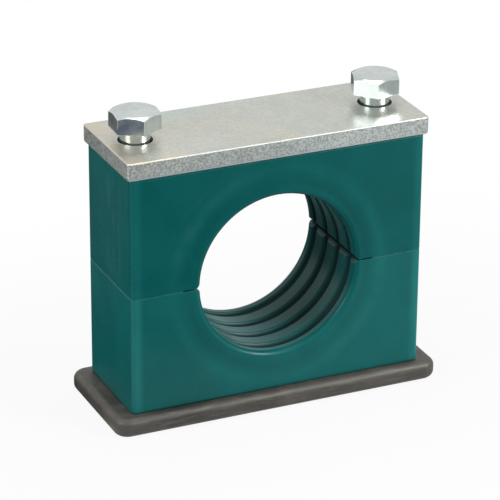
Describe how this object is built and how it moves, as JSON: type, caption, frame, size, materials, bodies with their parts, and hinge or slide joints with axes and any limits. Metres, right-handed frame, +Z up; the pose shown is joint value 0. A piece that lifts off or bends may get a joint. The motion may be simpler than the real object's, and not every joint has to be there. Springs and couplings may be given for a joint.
{
  "type": "hydraulic tube clamp",
  "caption": "Heavy-series tube clamp: two ribbed plastic jaws on a weld plate, held under a zinc-plated cover plate by long hex bolts.",
  "frame": {"origin": "centre of the weld plate's underside, midway between the two bolts", "axes": "+X along the clamp from the left bolt to the right bolt, +Y along the tube from the front, +Z up through the bolts"},
  "size_m": [0.28, 0.107, 0.252],
  "materials": {
    "weld_steel": "dark phosphated, matt, rubbed lighter along the edges",
    "jaw_plastic": "moulded polypropylene, semi-gloss, faint scuffs",
    "cover_zinc": "zinc plated, satin, slightly mottled",
    "bolt_zinc": "bright zinc plated"
  },
  "bodies": {
    "clamp": {"weld_plate": "weld_steel", "lower_jaw": "jaw_plastic", "upper_jaw": "jaw_plastic", "cover_plate": "cover_zinc"},
    "left_bolt": {"left_bolt": "bolt_zinc"},
    "right_bolt": {"right_bolt": "bolt_zinc"}
  },
  "joints": [
    {"name": "left_bolt_travel", "type": "slide", "parent": "clamp", "child": "left_bolt", "axis": [0, 0, 1], "range_m": [-0.009, 0.003]},
    {"name": "right_bolt_travel", "type": "slide", "parent": "clamp", "child": "right_bolt", "axis": [0, 0, 1], "range_m": [-0.009, 0.003]}
  ]
}
